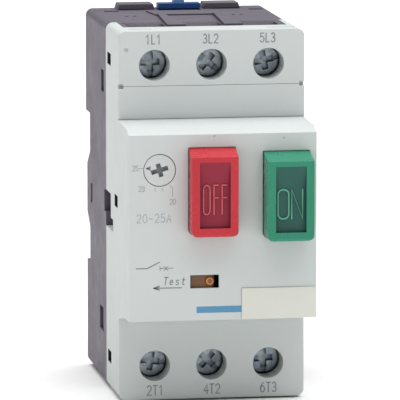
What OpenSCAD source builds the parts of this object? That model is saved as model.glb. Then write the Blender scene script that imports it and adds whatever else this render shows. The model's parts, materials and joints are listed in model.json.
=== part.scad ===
/* [Housing] */
// Width across the three poles
body_w = 45; // [45:1:60]
// Height along the column of poles
body_h = 89; // [89:1:110]
// Depth of the dark case, from the rail seat to the light cover
case_depth = 28; // [28:0.5:36]
// Depth of the light cover, from the case to the terminal face
cover_depth = 21; // [21:0.5:27]
// How far the fascia stands in front of the terminal face
nose_depth = 16.5; // [15:0.5:21]
// Top edge of the fascia front, above the rail centre
nose_up = 21.7; // [21.7:0.1:23]
// Bottom edge of the fascia front, below the rail centre
nose_down = 22.7; // [22.7:0.1:24]
// Thickness of the cover's side and end walls
cover_wall = 2.4; // [1.8:0.1:2.6]
// Thickness of the terminal face
face_wall = 2.4; // [2.2:0.1:3]
// Thickness of the fascia's front wall
nose_wall = 2.1; // [1.8:0.1:2.4]
// Thickness of the dark case's walls
case_wall = 2; // [1.4:0.1:2.4]
// Thickness of the walls between poles
partition = 1.2; // [0.8:0.1:1.4]
// Radius of the dark case's long corners
corner_r = 1.7; // [0.8:0.1:2]
// Radius of the light cover's long corners
cover_r = 1.7; // [0.5:0.1:2]
// Depth of the cover's end walls, in front of the wire entries
end_wall_depth = 9.5; // [8.5:0.5:11]

/* [Rail] */
// Upper edge of the rail slot above the rail centre
slot_up = 19; // [18.5:0.1:19.5]
// Lower edge of the rail slot below the rail centre
slot_down = 18.2; // [18:0.1:19]
// How far the upper foot stands behind the rail seat
foot_up = 7; // [6:0.5:9]
// How far the lower foot stands behind the rail seat
foot_down = 5; // [4.5:0.5:6]
// How far the middle pad stands behind the rail seat
pad_depth = 5; // [3:0.5:6]
// Half the height of the pad's flat back
pad_half = 6; // [4:0.5:7]
// Thickness of the rail's flange
rail_t = 1; // [1:0.1:1.5]
// Overlap of the hook and the latch on the flange
rail_grip = 1.3; // [1:0.1:1.6]
// Width of the rail latch
latch_w = 10; // [8:0.5:12]
// Travel of the rail latch
latch_travel = 3.5; // [3:0.1:4]

/* [Terminals] */
// Distance between poles
pole_pitch = 13.8; // [13.6:0.1:14]
// Distance of the terminal screws from the housing's ends
term_inset = 8.2; // [8:0.1:8.6]
// Diameter of the screwdriver holes
access_d = 7.5; // [7.2:0.1:8]
// Diameter of the screw heads
head_d = 7; // [6:0.1:7.1]
// Height of the screw heads
head_h = 2.6; // [2:0.1:3]
// Depth of the screw heads below the terminal face
head_depth = 7; // [6.5:0.1:7.5]
// Diameter of the screw threads
thread_d = 4; // [3.5:0.1:4]
// Running gap around the threads
thread_gap = 0.05; // [0.02:0.01:0.1]
// Width of each wire entry
bay_w = 9.2; // [9:0.1:9.6]
// Depth of each wire entry along the body's height
bay_h = 14.5; // [14:0.1:15]
// Travel of a wire clamp
clamp_travel = 5; // [3:0.1:5]
// Thickness of the clamp plates
clamp_t = 1.3; // [1:0.1:1.5]
// Thickness of the terminal bars
bar_t = 1.6; // [1.2:0.1:2]

/* [Controls] */
// Width of both pushbuttons
button_w = 11.1; // [10:0.1:11.2]
// Height of both pushbuttons
button_h = 20.7; // [18:0.1:21]
// Centre of the off button, left of the middle
off_x = 2.6; // [2:0.1:3]
// Centre of the off button above the rail centre
off_z = 8.15; // [7.5:0.05:9]
// How far the off button stands out
off_proud = 4.9; // [4:0.1:6]
// Travel of the off button
off_travel = 3; // [2:0.1:3]
// Centre of the on button, right of the middle
on_x = 15.25; // [15:0.05:15.4]
// Centre of the on button above the rail centre
on_z = 7; // [6.5:0.05:8]
// How far the on button stands out
on_proud = 6.6; // [6:0.1:8]
// Travel of the on button
on_travel = 5; // [4:0.1:5]
// Gap between a button and its window
button_gap = 0.35; // [0.15:0.05:0.45]
// Radius of the buttons' lower corners
button_r = 1.4; // [0.6:0.1:2]
// Diameter of the current dial
dial_d = 7.5; // [6:0.1:8]
// Centre of the dial, left of the middle
dial_x = 15.1; // [14.5:0.1:16]
// Centre of the dial above the rail centre
dial_z = 13.35; // [12:0.05:14]
// Width of the test window
test_w = 6.9; // [6:0.1:8]
// Height of the test window
test_h = 3.2; // [3:0.1:4]
// Centre of the test window, left of the middle
test_x = 4.35; // [4:0.05:4.6]
// Centre of the test window below the rail centre
test_z = 13.45; // [12:0.05:14]
// Travel of the test slider
test_travel = 2.6; // [2:0.1:2.8]

/* [Contacts] */
// Open gap between moving and fixed contacts
contact_gap = 3; // [2.5:0.1:3]
// Thickness of the contact tips
tip_t = 1; // [0.6:0.1:1.2]
// Half the distance between a bridge's two contacts
contact_z = 13; // [12:0.1:13.5]
// Radius of the trip coils over the wire
coil_r = 5.3; // [4.5:0.1:5.4]
// Travel of the striker cores
core_travel = 1.5; // [1:0.1:1.5]

/* [Hidden] */
$fn = 48;

poles = [-pole_pitch, 0, pole_pitch];
eps = 0.01;

// Housing planes: X to the right, Y to the rear, Z up, from the rail seat's centre.
half_w = body_w / 2;
half_h = body_h / 2;
y_seam = -case_depth;
y_face = y_seam - cover_depth;
y_nose = y_face - nose_depth;
joint_gap = 0.1;
case_top = half_h - 0.2;
nose_lip = 1.6;
nose_slope = nose_depth - 3.4;
nose_side = 1.2;
y_end_wall = y_face + end_wall_depth;

// Case interior, between its front wall and the rear plate.
case_front = 1.8;
y_in = y_seam + case_front;
y_back = -4;
case_half = half_w - case_wall;
tower_half = half_w - cover_wall - 0.2;

// Terminals, on the line side; the load side is their mirror image.
term_z = half_h - term_inset;
bay_floor = half_h - bay_h;
tower_floor = bay_floor - 2;
y_bay = y_seam - 2;
y_bar = y_bay - bar_t;
y_head = y_face + head_depth;
y_clamp = y_head + head_h + 0.1;
y_tower = y_head - 0.8;
y_collar = y_head - 1;
lead_w = 6;
lead_z = tower_floor - 0.7;
clamp_half = bay_w / 2 - 0.3;
way_gap = 0.6;

// Screw posts in the case's corners.
post_x = half_w - 3.6;
post_z = case_top - 4.1;
post_r = 3;

// Contacts, measured from the rear plate.
fixed_t = 1.6;
y_fixed = y_back - 3 - fixed_t;
y_tip = y_fixed - tip_t;
bridge_t = 1.4;
y_bridge = y_tip - contact_gap - tip_t;
bridge_w = 5;
cage_w = 8;
cage_h = 6.4;
y_cage = y_bridge - bridge_t - 7.5;
bar_y = y_cage - 3;
carrier_travel = contact_gap - 0.02;

// Lever pivot, shared by the drive lever and the release lever.
y_pivot = y_seam - 5;
z_pivot = -7;
pin_r = 1.25;
hub_r = 2.4;
y_drive = y_pivot - 3;
y_release = y_pivot - 1.5;
stem_gap = 0.3;
stem = 4;
on_tip_z = z_pivot + 14.5;
off_tip_z = z_pivot + 15;

// Overload trips, in front of the case.
y_bimetal = y_seam - 13.5;
bimetal_top = -1.2;
trip_bar_z = -0.6;
trip_bar_h = 2.4;
lug_gap = 0.2;
arm_x = -test_x + 0.05;

// Arc chutes beyond the contacts, and the striker coils beside the load side's.
chute_z = [contact_z + 4.2, lead_z - bar_t - 0.5];
chute_y = [y_bridge - 2.4, y_fixed - 0.6];
coil_z = 5.2 - chute_z[1];
core_r = 2.3;
bobbin_r = 3;
coil_turns = 5;
wire_r = (coil_r - bobbin_r) / 2 + 0.05;
y_coil = y_in + 1.6;
coil_len = 7;
yoke_half = 3.5;
yoke_t = 0.9;

// Basic shapes ---------------------------------------------------------

module block(x, y, z) {
    translate([x[0], y[0], z[0]]) cube([x[1] - x[0], y[1] - y[0], z[1] - z[0]]);
}

module rod_y(x, z, y, r) {
    translate([x, y[0], z]) rotate([-90, 0, 0]) cylinder(h = y[1] - y[0], r = r);
}

module rod_x(y, z, x, r) {
    translate([x[0], y, z]) rotate([0, 90, 0]) cylinder(h = x[1] - x[0], r = r);
}

// Extrudes a profile of [Y, Z] points along X.
module profile_x(points, x) {
    translate([x[0], 0, 0]) rotate([90, 0, 90]) linear_extrude(x[1] - x[0]) polygon(points);
}

// A box along Y whose four long corners are round.
module round_bar(w, z, y, r) {
    translate([0, y[1], 0]) rotate([90, 0, 0]) linear_extrude(y[1] - y[0]) {
        translate([-w / 2 + r, z[0]]) square([w - 2 * r, z[1] - z[0]]);
        translate([-w / 2, z[0] + r]) square([w, z[1] - z[0] - 2 * r]);
        for (sx = [-1, 1], cz = [z[0] + r, z[1] - r])
            translate([sx * (w / 2 - r), cz]) circle(r);
    }
}

// Copies its children to the line side and, mirrored, to the load side.
module both_ends() {
    children();
    mirror([0, 0, 1]) children();
}

module at_poles() {
    for (x = poles) translate([x, 0, 0]) children();
}

// A compression spring along +Z with its ends at 0 and length.
module coil_spring(r, wire, turns, length) {
    sides = 6;
    steps = 10;
    rings = turns * steps;
    rise = (length - wire) / rings;
    points = [
        for (i = [0:rings], k = [0:sides - 1])
            let (turn = i * 360 / steps, side = k * 360 / sides, reach = r + wire / 2 * cos(side))
                [reach * cos(turn), reach * sin(turn), wire / 2 + i * rise + wire / 2 * sin(side)]
    ];
    skin = [
        for (i = [0:rings - 1], k = [0:sides - 1])
            let (a = i * sides + k, b = i * sides + (k + 1) % sides) [a, a + sides, b + sides, b]
    ];
    ends = [
        [for (k = [0:sides - 1]) k],
        [for (k = [sides - 1:-1:0]) rings * sides + k]
    ];
    polyhedron(points, concat(skin, ends));
}

module spring_y(x, z, y, r, wire, turns) {
    translate([x, y[0], z]) rotate([-90, 0, 0]) coil_spring(r, wire, turns, y[1] - y[0]);
}

// Housing --------------------------------------------------------------

notch_z = 3.8;
notch_y = y_seam - 8;
catch_z = [term_z - 1.4, term_z + 1.5];
catch_y = [y_seam - 8.3, y_seam - 2.7];
strip_z = [nose_up + 1.7, nose_up + 9.7];
strip_t = 1.5;
marker_x = 4.46;
marker_h = 7.55;
marker_t = 0.8;

function cover_outline(top, bottom) = [
    [y_seam - joint_gap, top], [y_face, top], [y_face, nose_up + nose_lip],
    [y_face - nose_slope, nose_up + nose_lip - 0.4], [y_nose, nose_up],
    [y_nose, -nose_down], [y_nose + 8, -nose_down - 0.3],
    [y_face, -nose_down - 1.9], [y_face, -bottom], [y_seam - joint_gap, -bottom]
];

module front_cover() {
    inner = half_h - cover_wall;
    color("gainsboro") difference() {
        union() {
            difference() {
                intersection() {
                    profile_x(cover_outline(half_h, half_h), [-half_w, half_w]);
                    round_bar(body_w, [-half_h, half_h], [y_nose - 1, 0], cover_r);
                }
                block([-half_w + cover_wall, half_w - cover_wall],
                    [y_face + face_wall, 0], [-inner, inner]);
                block([-half_w + nose_side, half_w - nose_side],
                    [y_nose + nose_wall, y_face + eps], [-nose_down + 1.6, nose_up - 1.2]);
                block([-half_w + cover_wall, half_w - cover_wall],
                    [y_face, y_face + face_wall + eps], [-nose_down + 1.6, nose_up - 1.2]);
            }
            both_ends() at_poles() rod_y(0, term_z, [y_face + 1, y_collar], access_d / 2 + 1.2);
            rod_y(-dial_x, dial_z - 10.35, [y_nose + 1, y_nose + 9], 1.2);
            block([-dial_x - 1.6, -dial_x - 0.6], [y_nose + 1, y_nose + 4.4], [-test_z - 2, -test_z + 2]);
        }
        both_ends() at_poles() rod_y(0, term_z, [y_face - 1, y_collar + 1], access_d / 2);
        // Wire entries: the end walls stop in front of the case.
        both_ends() block([-tower_half, tower_half], [y_end_wall, 0], [inner - eps, half_h + 1]);
        // Button, dial and test windows.
        window(-off_x, off_z);
        window(on_x, on_z);
        rod_y(-dial_x, dial_z, [y_nose - 1, y_nose + nose_wall + 1], dial_d / 2 + 0.15);
        block([-test_x - test_w / 2, -test_x + test_w / 2], [y_nose - 1, y_nose + nose_wall + 1],
            [-test_z - test_h / 2, -test_z + test_h / 2]);
        block([-dial_x - 0.6, -test_x + 4.6], [y_nose + 0.9, y_nose + nose_wall + 1],
            [-test_z - 2.7, -test_z + 2.7]);
        // Seat of the strip over the accessory slot, with a prying notch at each end.
        block([-half_w - 1, half_w + 1], [y_face - 1, y_face + strip_t], strip_z);
        for (s = [-1, 1])
            block([s * (half_w - 0.6) - 0.6, s * (half_w - 0.6) + 0.6], [y_face - 1, y_face + 1],
                [strip_z[1] - 0.6, strip_z[1] + 0.6]);
        block([marker_x, half_w + 1], [y_nose - 1, y_nose + 0.5], [-nose_down - 1, -nose_down + marker_h]);
        // Small moulding marks.
        for (p = [[14.6, nose_up - 1.2], [-2.05, nose_up - 0.5]])
            rod_y(p[0], p[1], [y_nose - 1, y_nose + 0.2], 0.3);
        rod_y(-half_w + 1.9, half_h - 4.4, [y_face - 1, y_face + 0.25], 0.5);
        // Catch windows, the side openings of the accessory drive and the end slits.
        both_ends() for (s = [-1, 1])
            block([s * half_w - 3, s * half_w + 3], catch_y, catch_z);
        block([-half_w - 1, -tower_half + 1], [notch_y, 0], [-5, notch_z]);
        block([-half_w - 1, -tower_half + 1], [notch_y - 3.6, 0], [-5, -2]);
        block([-half_w - 1, -tower_half + 1], [y_face + 1.6, y_face + 6.6], [1.9, 4.8]);
        both_ends() {
            block([-19.2, -13.8], [y_face + 4.5, y_face + 5.2], [half_h - 0.8, half_h + 1]);
            block([14.2, 21], [y_face + 4.5, y_face + 5.2], [half_h - 0.8, half_h + 1]);
        }
    }
}

module window(x, z) {
    side = button_w / 2 + button_gap;
    reach = button_h / 2 + button_gap;
    block([x - side, x + side], [y_nose - 1, y_nose + nose_wall + 1], [z - reach, z + reach]);
}

module accessory_slot_cover() {
    color("gainsboro") difference() {
        block([-half_w, half_w], [y_face, y_face + strip_t],
            [strip_z[0] + 0.06, strip_z[1] - 0.06]);
        for (s = [-1, 1])
            block([s * (half_w - 0.6) - 0.6, s * (half_w - 0.6) + 0.6], [y_face - 1, y_face + 1],
                [strip_z[1] - 0.6, strip_z[1] + 0.6]);
    }
}

module marker_plate() {
    color("oldlace")
        block([marker_x + 0.05, half_w], [y_nose + 0.5 - marker_t, y_nose + 0.5],
            [-nose_down, -nose_down + marker_h - 0.05]);
}

// One end of the case: three wire bays side by side, open to the front and the end.
module tower() {
    difference() {
        union() {
            block([-tower_half, tower_half], [y_tower, y_seam + 1], [tower_floor, half_h - cover_wall - 0.1]);
            block([-tower_half, tower_half], [y_end_wall + joint_gap, y_seam + 1], [tower_floor, case_top]);
            for (s = [-1, 1])
                block([s * tower_half - 1.5, s * tower_half + 1.5],
                    [catch_y[0] + 0.2, catch_y[1] - 0.2], [catch_z[0] + 0.2, catch_z[1] - 0.2]);
            for (s = [-1, 1]) divider(s * pole_pitch / 2);
        }
        at_poles() {
            block([-bay_w / 2, bay_w / 2], [y_tower - 1, y_bay], [bay_floor, half_h + 2]);
            rod_y(0, term_z, [y_bay - 1, y_in + 1], thread_d / 2 + way_gap);
            block([-lead_w / 2 - 0.2, lead_w / 2 + 0.2], [y_bar - 0.1, y_bay + 0.1],
                [tower_floor - 1, bay_floor + 1]);
        }
    }
}

// The raised wedge between two wire entries.
module divider(x) {
    translate([x, 0, case_top - 0.3]) linear_extrude(1)
        polygon([[-2.25, y_end_wall + 0.2], [2.25, y_end_wall + 0.2], [0.7, y_seam + 15], [-0.7, y_seam + 15]]);
}

module body_case() {
    color("dimgray") difference() {
        union() {
            difference() {
                round_bar(body_w, [-case_top, case_top], [y_seam, y_back - joint_gap], corner_r);
                block([-case_half, case_half], [y_in, y_back + 1],
                    [-case_top + case_wall, case_top - case_wall]);
            }
            for (s = [-1, 1])
                block([s * pole_pitch / 2 - partition / 2, s * pole_pitch / 2 + partition / 2],
                    [y_in - eps, y_back - joint_gap], [-case_top + 1, case_top - 1]);
            both_ends() for (s = [-1, 1])
                rod_y(s * post_x, post_z, [y_in - eps, y_back - joint_gap], post_r);
            both_ends() tower();
            translate([0, 0, case_top - 0.2]) linear_extrude(0.55)
                polygon([[-9, y_back - 0.2], [-8, y_back - 9], [8, y_back - 9], [9, y_back - 0.2]]);
        }
        at_poles() {
            both_ends() rod_y(0, term_z, [y_bay - 1, y_in + 1], thread_d / 2 + way_gap);
            both_ends() block([-lead_w / 2 - 0.2, lead_w / 2 + 0.2], [y_seam - 1, y_in + 1],
                [lead_z - bar_t - 0.1, lead_z + 0.1]);
            rod_y(0, coil_z, [y_seam - 1, y_in + 1], core_r + 0.2);
            block([3.5, 5.4], [y_seam - 1, y_in + 1], [coil_z + 3.8, coil_z + 6.2]);
        }
        // Way through for the contact carrier and its stem.
        block([-pole_pitch - 4.4, pole_pitch + 4.4], [y_in + 0.2, y_bridge - 3], [-3.2, 3.2]);
        block([on_x - 4.6, half_w - 2.7], [y_seam - 1, y_in + 1], [-3.4, 5]);
        both_ends() for (s = [-1, 1])
            rod_y(s * post_x, post_z, [y_back - 16.5, y_back + 1], 1.5);
        // Clip recesses and the side opening of the accessory drive.
        for (s = [-1, 1]) {
            block([s * half_w - 0.7, s * half_w + 0.7], [y_seam + 3.6, y_seam + 8], [tower_floor - 1, tower_floor + 4.4]);
            block([s * half_w - 0.7, s * half_w + 0.7], [y_seam + 4.5, y_seam + 11], [-tower_floor - 4, -tower_floor + 1.8]);
        }
        block([-half_w - 1, -case_half - 0.6], [y_seam - 1, y_seam + 3], [-1.8, 3.6]);
        // Slanted vents.
        both_ends() for (x = [-16, -14, 10.4, 12.4])
            translate([x, y_back - 10, case_top - 0.6]) rotate([0, 0, -35]) cube([0.6, 2, 2]);
    }
}

// Rear plate with the rail slot ----------------------------------------

tab_in = latch_w / 2 + 0.7;
tab_out = 15.6;
tab_h = 1.4;
channel_y = [1.2, 4.4];
lug_z = [half_h - 8.2, half_h - 6.5];

module rear_plate() {
    color("dimgray") difference() {
        union() {
            round_bar(body_w, [-case_top, case_top], [y_back, 0], corner_r);
            intersection() {
                round_bar(body_w, [-case_top, case_top], [-1, foot_up], corner_r);
                union() {
                    block([-half_w, half_w], [-1, foot_up], [slot_up, half_h]);
                    block([-half_w, half_w], [-1, foot_down], [-half_h, -slot_down]);
                }
            }
            profile_x([[-1, pad_half + 3.5], [0, pad_half + 3.5], [pad_depth, pad_half],
                [pad_depth, -pad_half], [0, -pad_half - 3.5], [-1, -pad_half - 3.5]], [-half_w, half_w]);
            // Fixed hooks under the rail's lower flange.
            for (s = [-1, 1])
                block([s * 11 - 5, s * 11 + 5], [rail_t + 0.3, foot_down - 0.6],
                    [-slot_down - 1, -17.5 + rail_grip]);
            for (s = [-1, 1]) scale([s, 1, 1])
                translate([0, foot_up, 0]) rotate([90, 0, 0]) linear_extrude(foot_up - 1)
                    polygon([[tab_in, case_top - 1], [tab_in + 0.8, case_top + tab_h],
                        [tab_out - 0.7, case_top + tab_h], [tab_out, case_top - 1]]);
        }
        difference() {
            union() {
                block([-latch_w / 2 - 0.3, latch_w / 2 + 0.3], channel_y, [slot_up - 1, half_h + 3]);
                block([-latch_w / 2 - 0.3, latch_w / 2 + 0.3], [y_back - 1, channel_y[1]],
                    [case_top - 2.2, half_h + 3]);
            }
            block([-1.5, 1.5], [0, foot_up], lug_z);
        }
        // Screw seats.
        for (s = [-1, 1], e = [-1, 1]) {
            rod_y(s * post_x, e * post_z, [y_back - 1, 1], 1.6);
            rod_y(s * post_x, e * post_z, [0, foot_up + 1], 2.9);
        }
        // Side slots, a ledge along the top and a corner pocket.
        for (s = [-1, 1])
            block([s * half_w - 1.5, s * half_w + 1.5], [y_back - 1, y_back + 2.6], [-3.1, 1.8]);
        for (s = [-1, 1])
            block([s * 15 - 6.5, s * 15 + 6.5], [0.6, 1.1], [case_top - 0.5, half_h]);
        block([-19, -15.5], [-2.4, -0.6], [case_top - 1.2, half_h]);
        block([17, 20.5], [-2.4, -0.6], [case_top - 1.2, half_h]);
    }
}

module rail_latch() {
    tip = 17.5 - rail_grip;
    y = [channel_y[0] + 0.1, channel_y[1] - 0.2];
    color("royalblue") difference() {
        union() {
            block([-latch_w / 2, latch_w / 2], y, [tip + 1.2, half_h + 1.2]);
            profile_x([[y[0], tip], [y[1] - 1.2, tip], [y[1], tip + 1.2 + eps], [y[0], tip + 1.2 + eps]],
                [-latch_w / 2, latch_w / 2]);
            block([-latch_w / 2 - 0.2, latch_w / 2 + 0.2], [y[0] - 0.9, y[1]], [half_h + 0.1, half_h + 1.3]);
            block([-1.35, 1.35], [y[0], y[1]], [half_h + 1, half_h + 2.4]);
        }
        block([-1.9, 1.9], [0, foot_up], [lug_z[0] - 9.6, lug_z[1] + 0.3]);
    }
}

module rail_latch_spring() {
    color("silver") translate([0, (channel_y[0] + channel_y[1]) / 2, lug_z[0] - 9.55])
        coil_spring(1.1, 0.5, 7, 9.5);
}

module case_screws() {
    color("silver") for (s = [-1, 1], e = [-1, 1]) difference() {
        union() {
            rod_y(s * post_x, e * post_z, [0, 1.8], 2.6);
            rod_y(s * post_x, e * post_z, [y_back - 15, 0.5], 1.45);
        }
        translate([s * post_x, 1.9, e * post_z]) for (turn = [0, 90])
            rotate([0, turn, 0]) cube([3, 2, 0.7], center = true);
    }
}

// Controls -------------------------------------------------------------

cap_wall = 1.4;
panel_side = 1.9;
panel_depth = 1.1;
ramp_len = 5.2;
panel_top = 2.9;
panel_base = 2.1;
cap_slope = 1.7;

// A hollow cap that stands out of its window, with a stem back to its lever.
module pushbutton(x, z, proud, y_lever, tip_z, tone) {
    top = z + button_h / 2;
    base = z - button_h / 2;
    y_front = y_nose - proud;
    y_rear = y_nose + nose_wall + 1.4;
    color(tone) difference() {
        union() {
            intersection() {
                profile_x([[y_rear, base], [y_nose, base], [y_front + 0.6, base], [y_front, base + 0.6],
                    [y_front, top - cap_slope], [y_nose, top], [y_rear, top]], [x - button_w / 2, x + button_w / 2]);
                translate([x, 0, 0])
                    round_bar(button_w, [base, top + button_w], [y_front - 1, y_rear + 1], button_r, $fn = 24);
            }
            block([x - button_w / 2, x + button_w / 2], [y_nose + nose_wall + 0.1, y_rear],
                [base - 0.8, top + 0.8]);
        }
        block([x - button_w / 2 + cap_wall, x + button_w / 2 - cap_wall], [y_nose - 1, y_rear + 1],
            [base + cap_wall + 0.2, top - cap_wall - 0.2]);
        // Sunk panel with a ramp at its top.
        profile_x([[y_front - 1, top - panel_top], [y_front, top - panel_top],
            [y_front + panel_depth, top - panel_top - ramp_len], [y_front + panel_depth, base + panel_base],
            [y_front - 1, base + panel_base]], [x - button_w / 2 + panel_side, x + button_w / 2 - panel_side]);
    }
    color(tone) {
        block([x - stem / 2, x + stem / 2], [y_nose - 1 - eps, y_lever - 3], [tip_z - stem / 2, tip_z + stem / 2]);
        block([x - stem / 2, x + stem / 2], [y_lever - 3 - eps, y_lever], [tip_z - 1, tip_z + 1]);
    }
}

module off_button() {
    pushbutton(-off_x, off_z, off_proud, y_release - stem_gap, off_tip_z, "crimson");
}

module on_button() {
    pushbutton(on_x, on_z, on_proud, y_drive - stem_gap, on_tip_z, "seagreen");
}

module off_button_spring() {
    color("silver") spring_y(-off_x, off_tip_z, [y_nose - 0.9, y_seat], 3.4, 0.5, 6);
}

module on_button_spring() {
    color("silver") spring_y(on_x, on_tip_z, [y_nose - 0.9, y_seat], 3.4, 0.5, 6);
}

dial_pin_r = 1.5;
dial_pin_turn = 65;
// The dial's cross recess.
dial_turn = 16;
dial_arm = 2.05;
dial_short_arm = 1.6;
dial_cut_w = 1;
dial_cut = 0.9;
lever_arm = 10.35;
lever_tilt = 6.85;

module current_dial() {
    y_disc = y_nose + nose_wall + 0.3;
    color("gainsboro") translate([-dial_x, 0, dial_z]) difference() {
        union() {
            rod_y(0, 0, [y_nose + 0.1, y_disc + 0.5], dial_d / 2);
            rod_y(0, 0, [y_disc, y_disc + 1.6], dial_d / 2 + 0.7);
            rotate([0, dial_pin_turn + 180, 0]) rod_y(0, dial_pin_r, [y_disc + 1, y_disc + 4.4], 0.8);
        }
        rotate([0, -dial_turn, 0]) {
            block([-dial_arm, dial_arm], [y_nose, y_nose + dial_cut], [-dial_cut_w / 2, dial_cut_w / 2]);
            block([-dial_cut_w / 2, dial_cut_w / 2], [y_nose, y_nose + dial_cut],
                [-dial_short_arm, dial_short_arm]);
        }
    }
}

module adjusting_lever() {
    y = [y_nose + 7.2, y_nose + 8.4];
    color("silver") translate([-dial_x, 0, dial_z - lever_arm]) rotate([0, -lever_tilt, 0]) difference() {
        union() {
            rod_y(0, 0, y, 2.4);
            block([-2.2, 2.2], y, [-4, lever_arm - 0.2]);
            block([-2.2, 2.2], [y[0], y_seat - 2], [-4, -3]);
        }
        rod_y(0, 0, [y[0] - 1, y[1] + 1], 1.25);
        block([-1.1, 1.1], [y[0] - 1, y[1] + 1], [lever_arm - 4, lever_arm + 1]);
    }
}

slider_len = 5.1;
slider_half = 1.9;

module test_slider() {
    y = [y_nose + 1.1, y_nose + nose_wall];
    right = -test_x + test_w / 2 - 1.5;
    color("peru") union() {
        block([right - slider_len, right], y, [-test_z - slider_half, -test_z + slider_half]);
        block([right - slider_len, right + 0.6], [y[1] - eps, y[1] + 1.4],
            [-test_z - slider_half - 0.6, -test_z + slider_half + 0.6]);
        block([arm_x - 0.7, arm_x + 0.7], [y[1] + 1, y_bimetal - 4], [-test_z - 1.5, -test_z + 1.5]);
        block([arm_x - 0.7, arm_x + 0.7], [y_bimetal - 6, y_bimetal - 4], [-test_z, 1.5]);
    }
    color("orange") rod_y(right - 0.65, -test_z, [y_nose + 0.3, y[0] + eps], 0.6);
}

module test_slider_spring() {
    left = -dial_x - 0.6;
    color("silver") translate([left, y_nose + nose_wall + 0.9, -test_z]) rotate([0, 90, 0])
        coil_spring(1, 0.4, 6, -test_x + test_w / 2 - 1.5 - slider_len - left);
}

// Terminals ------------------------------------------------------------

screw_turns = [[88, 40, -12], [-8, -42, 93]];
slot_w = 1;
slot_depth = 0.9;
cross_w = 1.5;
cross_arm = 2.3;
cross_depth = 1.7;

module terminal_screw(end, pole) {
    turn = screw_turns[end][pole - 1];
    color("silver") mirror([0, 0, end]) translate([poles[pole - 1], 0, term_z]) difference() {
        union() {
            rod_y(0, 0, [y_head, y_head + head_h], head_d / 2);
            rod_y(0, 0, [y_head + head_h - eps, y_seam + 1.5], thread_d / 2 - thread_gap);
        }
        rotate([0, turn, 0]) {
            block([-head_d, head_d], [y_head - 1, y_head + slot_depth], [-slot_w / 2, slot_w / 2]);
            for (a = [0, 90]) rotate([0, a, 0])
                block([-cross_arm, cross_arm], [y_head - 1, y_head + cross_depth], [-cross_w / 2, cross_w / 2]);
        }
    }
}

module wire_clamp(end, pole) {
    color("lightgray") mirror([0, 0, end]) translate([poles[pole - 1], 0, term_z]) difference() {
        union() {
            block([-clamp_half, clamp_half], [y_clamp, y_clamp + clamp_t], [-4.2, 4.2]);
            for (s = [-1, 1])
                block([s * (clamp_half - 0.5) - 0.5, s * (clamp_half - 0.5) + 0.5],
                    [y_clamp + clamp_t - eps, y_clamp + clamp_t + 0.5], [-4.2, 4.2]);
        }
        rod_y(0, 0, [y_clamp - 1, y_clamp + clamp_t + 1], thread_d / 2);
    }
}

// The threaded pad that a wire is clamped to, with its leg out of the bay.
module terminal_pad() {
    difference() {
        union() {
            block([-clamp_half, clamp_half], [y_bar, y_bay], [bay_floor + 0.2, term_z + 5]);
            block([-lead_w / 2, lead_w / 2], [y_bar, y_bay], [lead_z - bar_t, bay_floor + 1]);
        }
        rod_y(0, term_z, [y_bar - 1, y_bay + 1], thread_d / 2);
    }
}

module line_terminal(pole) {
    color("peru") translate([poles[pole - 1], 0, 0]) union() {
        terminal_pad();
        block([-lead_w / 2, lead_w / 2], [y_bar, y_fixed + fixed_t], [lead_z - bar_t, lead_z]);
        block([-lead_w / 2, lead_w / 2], [y_fixed, y_fixed + fixed_t], [contact_z - 3, lead_z]);
        block([-2, 2], [y_tip, y_fixed + eps], [contact_z - 2, contact_z + 2]);
    }
}

module load_terminal(pole) {
    color("peru") translate([poles[pole - 1], 0, 0]) mirror([0, 0, 1]) union() {
        terminal_pad();
        block([-lead_w / 2, lead_w / 2], [y_bimetal - 2.5, y_bay], [lead_z - bar_t, lead_z]);
    }
}

// Poles ----------------------------------------------------------------

module contact_carrier() {
    color("ivory") union() {
        block([-pole_pitch - 4, pole_pitch + 4], [bar_y, y_cage + eps], [-2.2, 2.2]);
        block([on_x - 3.4, on_x + 3], [y_pivot + 2.5 + stem_gap, bar_y + eps], [0, 2]);
        at_poles() difference() {
            block([-cage_w / 2, cage_w / 2], [y_cage, y_bridge + 0.7], [-cage_h / 2, cage_h / 2]);
            block([-bridge_w / 2 - 0.2, bridge_w / 2 + 0.2], [y_cage + 1.2, y_bridge], [-cage_h, cage_h]);
        }
    }
}

module contact_springs() {
    color("silver") at_poles()
        spring_y(0, 0, [y_cage + 1.2, y_bridge - bridge_t], 1.9, 0.5, 4);
}

module contact_bridge(pole) {
    color("peru") translate([poles[pole - 1], 0, 0]) union() {
        block([-bridge_w / 2, bridge_w / 2], [y_bridge - bridge_t, y_bridge], [-contact_z - 2.6, contact_z + 2.6]);
        for (s = [-1, 1])
            block([-2, 2], [y_bridge - eps, y_bridge + tip_t], [s * contact_z - 2, s * contact_z + 2]);
    }
}

// Steel splitter plates between two insulating cheeks, at each end of the pole.
module arc_chute(pole) {
    plates = 4;
    step = (chute_y[1] - chute_y[0] - 0.9) / (plates - 1);
    color("silver") translate([poles[pole - 1], 0, 0]) both_ends() {
        for (s = [-1, 1])
            block([s * 5.4 - 0.4, s * 5.4 + 0.4], chute_y, chute_z);
        for (i = [0:plates - 1]) difference() {
            block([-5.1, 5.1], [chute_y[0] + i * step, chute_y[0] + i * step + 0.9], chute_z);
            translate([0, chute_y[0] - 1, chute_z[0] - 0.5]) rotate([-90, 0, 0])
                linear_extrude(20) polygon([[-2.4, 1], [2.4, 1], [0, -4.5]]);
        }
    }
}

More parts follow.
